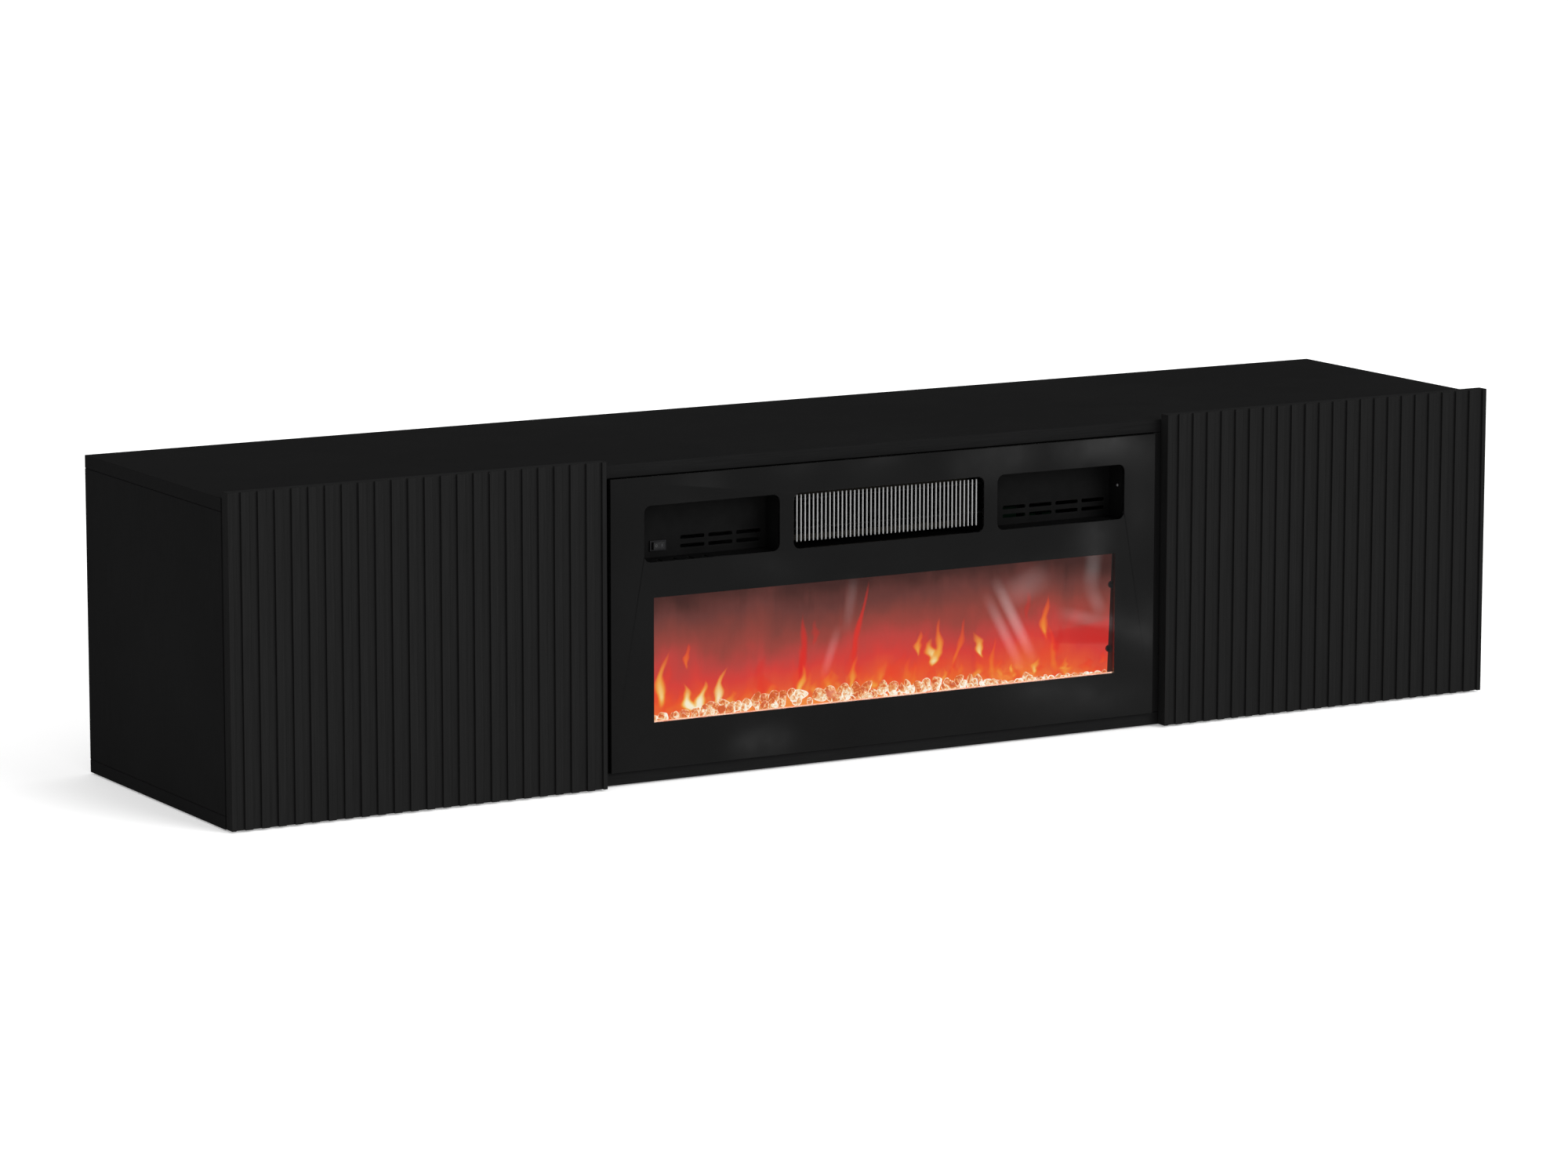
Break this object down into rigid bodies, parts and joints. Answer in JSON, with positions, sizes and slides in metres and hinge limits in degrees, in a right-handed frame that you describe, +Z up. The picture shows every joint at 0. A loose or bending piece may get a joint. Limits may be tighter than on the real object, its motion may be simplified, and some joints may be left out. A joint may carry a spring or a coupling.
{
  "type": "electric fireplace media cabinet",
  "caption": "Low black television cabinet with vertically ribbed doors at both ends and an electric fireplace behind glass in the middle.",
  "frame": {"origin": "middle of the box around the whole part, at the height that the cabinet stands on", "axes": "+Z up, -Y out of the front where the doors and the glass are, +X to the right seen from the front"},
  "size_m": [1.8, 0.409, 0.3995],
  "materials": {
    "black_laminate": "matt black laminate on particle board",
    "black_slatted_board": "matt black film on grooved fibre board",
    "hardboard": "black hardboard",
    "bright_steel": "bright zinc or nickel plated steel",
    "galvanised_sheet": "galvanised sheet steel",
    "black_painted_sheet": "satin black paint on sheet steel",
    "black_plastic": "fine-textured black plastic",
    "clear_rubber": "soft clear bumper",
    "black_glass": "polished toughened glass, black printed border",
    "switch_grey": "satin dark grey",
    "blower_aluminium": "rolled aluminium",
    "motor_steel": "laminated motor steel",
    "bronze": "sintered bronze",
    "mica": "mica board",
    "resistance_ribbon": "oxidised resistance alloy",
    "frosted_screen": "frosted acrylic, lit red from behind",
    "frosted_tray": "frosted acrylic, lit from below",
    "lamp_board": "white lamp board",
    "glass_crystals": "broken glass, lit from below",
    "mirror_foil": "polished foil",
    "motor_zinc": "zinc plated motor case",
    "nylon": "natural nylon",
    "circuit_board": "green solder mask"
  },
  "bodies": {
    "cabinet": {"top_panel": "black_laminate", "bottom_panel": "black_laminate", "left_side_panel": "black_laminate", "left_partition": "black_laminate", "left_back_panel": "hardboard", "left_wall_hanger": "galvanised_sheet", "left_insert_bracket": "galvanised_sheet", "left_recess_box": "black_painted_sheet", "housing_left_side": "black_painted_sheet", "left_hinge_arm_lower": "bright_steel", "screen_clip_left_lower": "black_plastic", "left_hinge_arm_upper": "bright_steel", "screen_clip_left_upper": "black_plastic", "right_side_panel": "black_laminate", "right_partition": "black_laminate", "right_back_panel": "hardboard", "right_wall_hanger": "galvanised_sheet", "right_insert_bracket": "galvanised_sheet", "right_recess_box": "black_painted_sheet", "housing_right_side": "black_painted_sheet", "right_hinge_arm_lower": "bright_steel", "screen_clip_right_lower": "black_plastic", "right_hinge_arm_upper": "bright_steel", "screen_clip_right_upper": "black_plastic", "front_glass": "black_glass", "switch_body": "black_plastic", "cord_gland": "black_plastic", "recess_screw": "bright_steel", "outlet_grille": "bright_steel", "housing_floor": "black_painted_sheet", "housing_top": "black_painted_sheet", "mid_deck": "black_painted_sheet", "firebox_liner": "black_painted_sheet", "rear_cover": "galvanised_sheet", "fan_duct": "galvanised_sheet", "fan_motor": "motor_steel", "fan_bush": "bronze", "heater_frame": "mica", "heating_element": "resistance_ribbon", "flame_screen": "frosted_screen", "crystal_tray": "frosted_tray", "crystal_bed": "glass_crystals", "ember_lamp_strip": "lamp_board", "flame_lamp_strip": "lamp_board", "spinner_motor": "motor_zinc", "spinner_bush": "nylon", "control_board": "circuit_board"},
    "left_door": {"left_door": "black_slatted_board", "left_hinge_cup_lower": "bright_steel", "left_hinge_cup_upper": "bright_steel", "left_bumper_lower": "clear_rubber", "left_bumper_upper": "clear_rubber"},
    "right_door": {"right_door": "black_slatted_board", "right_hinge_cup_lower": "bright_steel", "right_hinge_cup_upper": "bright_steel", "right_bumper_lower": "clear_rubber", "right_bumper_upper": "clear_rubber"},
    "power_rocker": {"power_rocker": "switch_grey"},
    "fan_wheel": {"fan_wheel": "blower_aluminium"},
    "flame_spinner": {"flame_spinner": "mirror_foil"}
  },
  "joints": [
    {"name": "left_door_hinge", "type": "hinge", "parent": "cabinet", "child": "left_door", "pos_m": [-0.893, -0.1985, 0.2], "axis": [0, 0, -1], "range_deg": [0, 95]},
    {"name": "right_door_hinge", "type": "hinge", "parent": "cabinet", "child": "right_door", "pos_m": [0.893, -0.1985, 0.2], "axis": [0, 0, 1], "range_deg": [0, 95]},
    {"name": "rocker_pivot", "type": "hinge", "parent": "cabinet", "child": "power_rocker", "pos_m": [-0.306, -0.153, 0.2838], "axis": [0, 0, -1], "range_deg": [0, 16]},
    {"name": "fan_spin", "type": "hinge", "parent": "cabinet", "child": "fan_wheel", "pos_m": [0, -0.0915, 0.306], "axis": [1, 0, 0], "continuous": true},
    {"name": "spinner_spin", "type": "hinge", "parent": "cabinet", "child": "flame_spinner", "pos_m": [0, -0.1145, 0.1], "axis": [1, 0, 0], "continuous": true}
  ]
}
